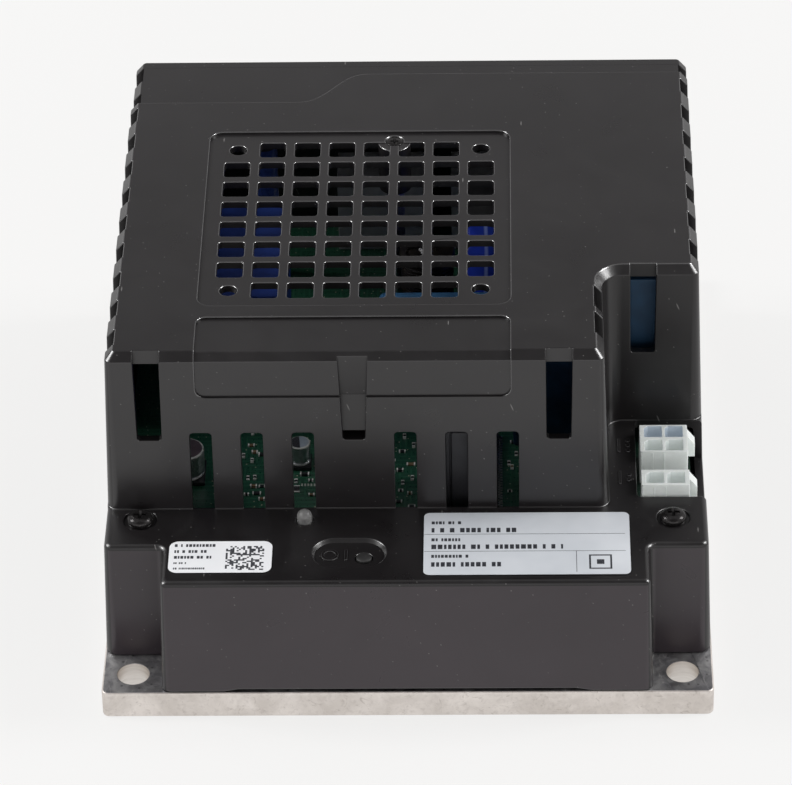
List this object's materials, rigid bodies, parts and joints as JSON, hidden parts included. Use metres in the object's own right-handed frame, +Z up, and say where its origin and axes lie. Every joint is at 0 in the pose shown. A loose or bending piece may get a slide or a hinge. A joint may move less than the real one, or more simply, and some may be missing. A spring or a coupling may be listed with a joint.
{
  "type": "variable frequency drive",
  "caption": "Cold-plate motor drive: circuit boards on an aluminium base under a vented black cover with a fan grille and plug headers.",
  "frame": {"origin": "middle of the base plate's underside", "axes": "+X to the right as seen from the labelled front, +Y back along the 245 mm length, +Z up out of the grille"},
  "size_m": [0.2, 0.245, 0.1155],
  "materials": {
    "plate_aluminium": "milled, slightly stained",
    "cover_plastic": "fine satin moulding",
    "circuit_board": "green solder mask",
    "plated_steel": "zinc plated",
    "black_screw": "black oxide",
    "natural_nylon": "natural, slightly translucent",
    "tinned_pin": "tinned",
    "button_plastic": "matt",
    "dark_part": "moulded epoxy",
    "led_lens": "diffused lens",
    "terminal_plastic": "moulded",
    "thermal_pad": "matt",
    "blue_sleeve": "shrink sleeve",
    "navy_box": "moulded box",
    "steel_blue_box": "moulded box",
    "choke_winding": "enamelled wire",
    "can_aluminium": "drawn can",
    "white_label": "matt film",
    "silver_label": "silver film"
  },
  "bodies": {
    "drive": {"cold_plate": "plate_aluminium", "cover": "cover_plastic", "main_board": "circuit_board", "power_board": "circuit_board", "main_board_pillar_1": "plated_steel", "main_board_pillar_2": "plated_steel", "main_board_pillar_3": "plated_steel", "main_board_pillar_4": "plated_steel", "power_board_pillar_1": "plated_steel", "power_board_pillar_2": "plated_steel", "power_board_pillar_3": "plated_steel", "power_board_pillar_4": "plated_steel", "grille_pillar": "plated_steel", "main_board_screw_left": "plated_steel", "main_board_screw_right": "plated_steel", "power_board_screw_1": "plated_steel", "power_board_screw_2": "plated_steel", "power_board_screw_3": "plated_steel", "power_board_screw_4": "plated_steel", "inverter_screw_left": "plated_steel", "inverter_screw_right": "plated_steel", "rectifier_screw_left": "plated_steel", "rectifier_screw_right": "plated_steel", "cover_screw_front_left": "black_screw", "cover_screw_front_right": "black_screw", "cover_screw_rear_left": "black_screw", "cover_screw_rear_right": "black_screw", "grille_screw": "black_screw", "x3_header": "natural_nylon", "x4_header": "natural_nylon", "x3_pin_1": "tinned_pin", "x3_pin_2": "tinned_pin", "x3_pin_3": "tinned_pin", "x3_pin_4": "tinned_pin", "x4_pin_1": "tinned_pin", "x4_pin_2": "tinned_pin", "s1_switch": "dark_part", "board_link": "dark_part", "interface_chip": "dark_part", "inverter_module": "dark_part", "rectifier_module": "dark_part", "supply_transformer": "dark_part", "status_led": "led_lens", "line_terminal": "terminal_plastic", "motor_terminal": "terminal_plastic", "inverter_thermal_pad": "thermal_pad", "rectifier_thermal_pad": "thermal_pad", "dc_link_capacitor_1": "blue_sleeve", "dc_link_capacitor_2": "blue_sleeve", "supply_capacitor": "blue_sleeve", "dc_link_film_capacitor": "navy_box", "filter_capacitor_1": "steel_blue_box", "filter_capacitor_2": "steel_blue_box", "filter_capacitor_3": "steel_blue_box", "filter_choke": "choke_winding", "signal_capacitor_1": "can_aluminium", "signal_capacitor_2": "can_aluminium", "serial_label": "white_label", "rating_label": "silver_label"},
    "button": {"s1_button": "button_plastic"}
  },
  "joints": [
    {"name": "s1_press", "type": "slide", "parent": "drive", "child": "button", "axis": [0, 0, -1], "range_m": [0, 0.0008], "stiffness_N_per_m": 1500}
  ]
}
